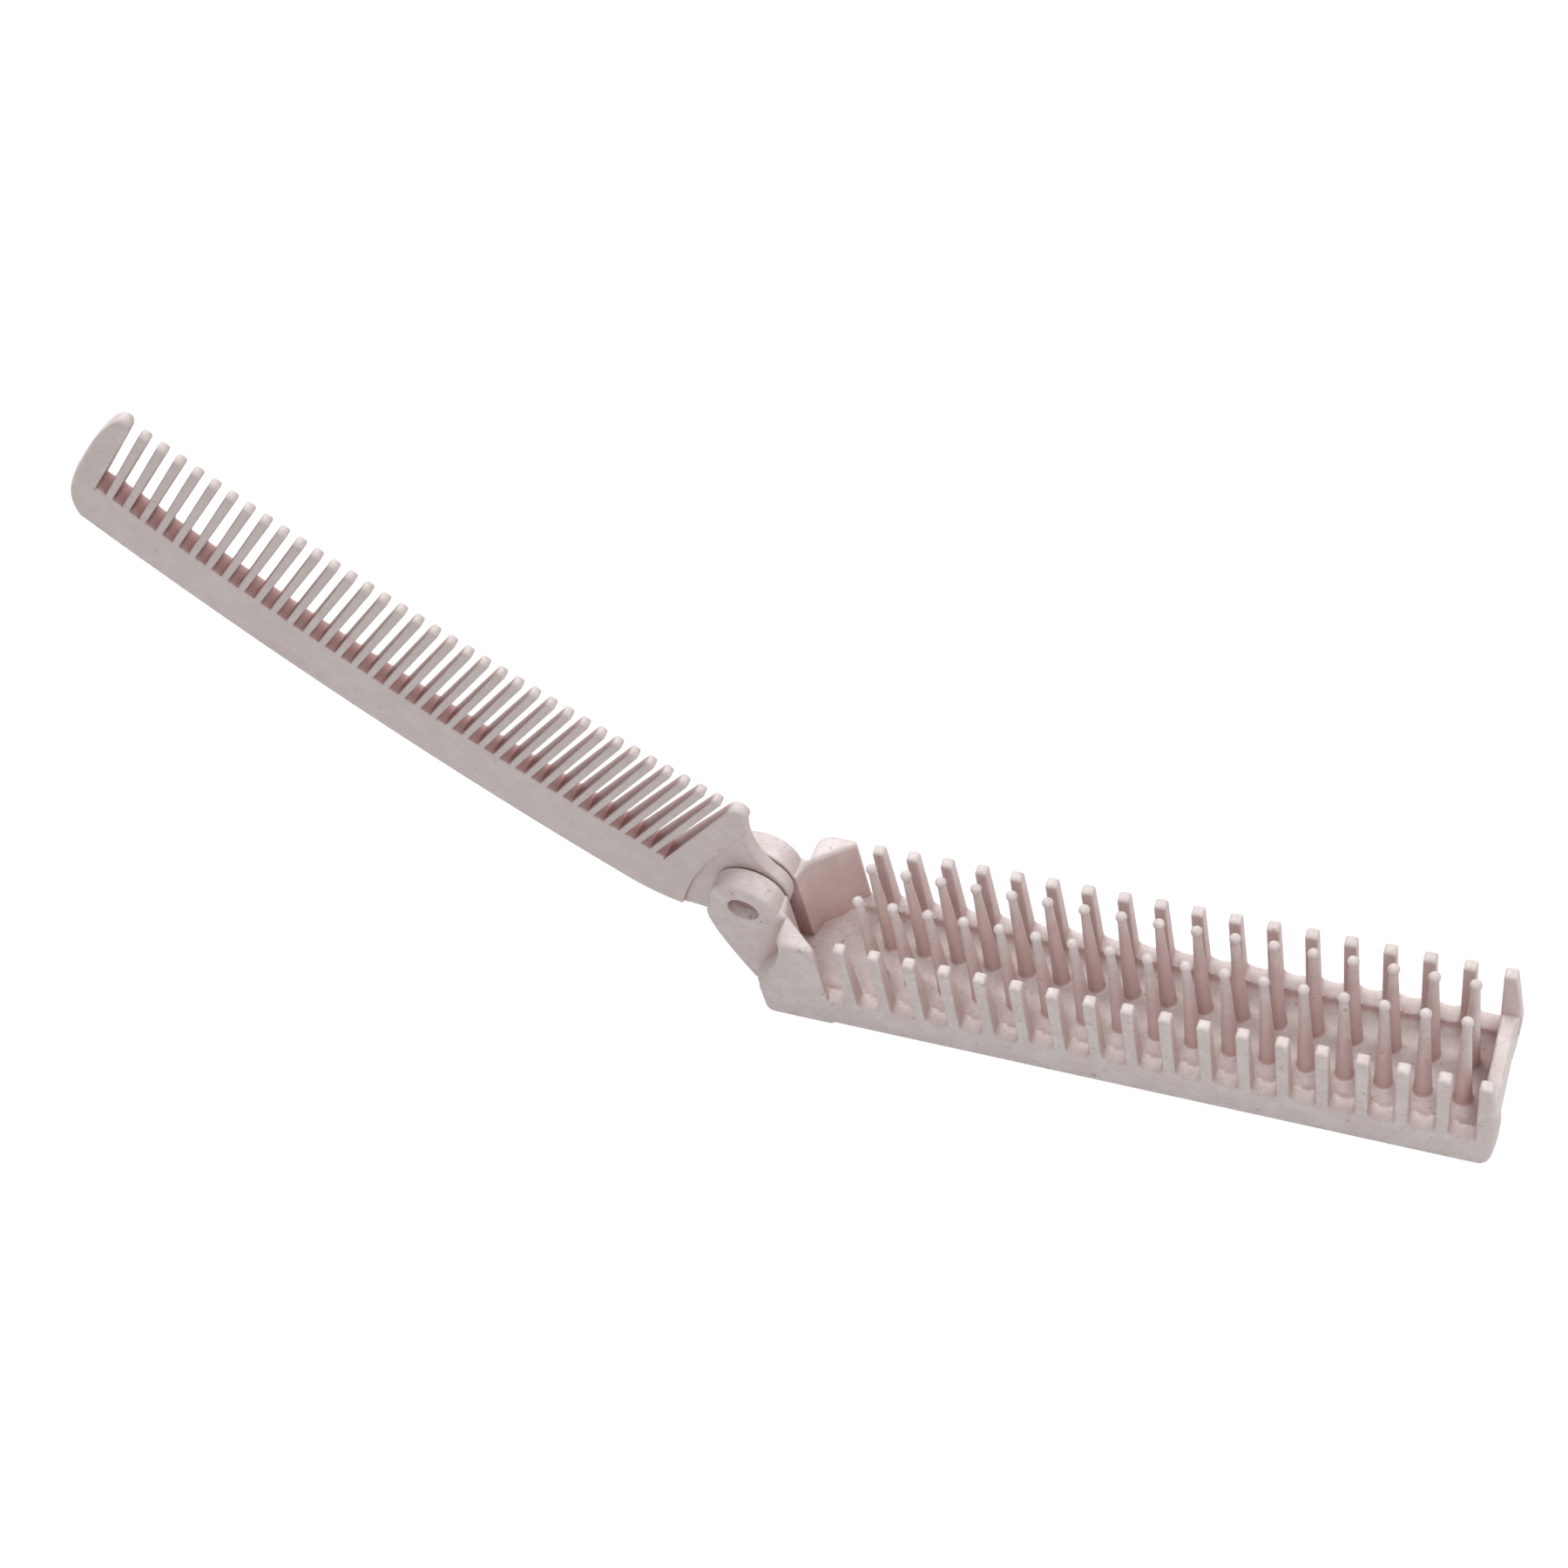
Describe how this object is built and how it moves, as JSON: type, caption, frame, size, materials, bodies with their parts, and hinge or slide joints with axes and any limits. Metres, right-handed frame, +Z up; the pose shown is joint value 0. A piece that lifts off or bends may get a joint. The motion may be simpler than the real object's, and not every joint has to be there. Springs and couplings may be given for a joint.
{
  "type": "folding comb",
  "caption": "Pocket comb and brush in moulded plastic: a bowed comb turns on a hinge pin and folds, teeth down, between the pin rows of a channel-shaped brush.",
  "frame": {"origin": "middle of the flat underside of the brush half", "axes": "+X from the hinge to the brush's free end, +Y along the hinge axis, +Z up, the way the pins point"},
  "size_m": [0.1793, 0.0186, 0.0929],
  "materials": {
    "brush_shell": "satin pale pink, straw-filled, with fine darker flecks",
    "comb_shell": "satin pale pink, straw-filled, with fine darker flecks",
    "pin_end": "matt, dusty pink"
  },
  "bodies": {
    "brush": {"brush_half": "brush_shell", "hinge_pin": "pin_end"},
    "comb": {"comb_half": "comb_shell"}
  },
  "joints": [
    {"name": "fold", "type": "hinge", "parent": "brush", "child": "comb", "pos_m": [-0.0498, 0, 0.0172], "axis": [0, 1, 0], "range_deg": [-43.2, 135.5]}
  ]
}
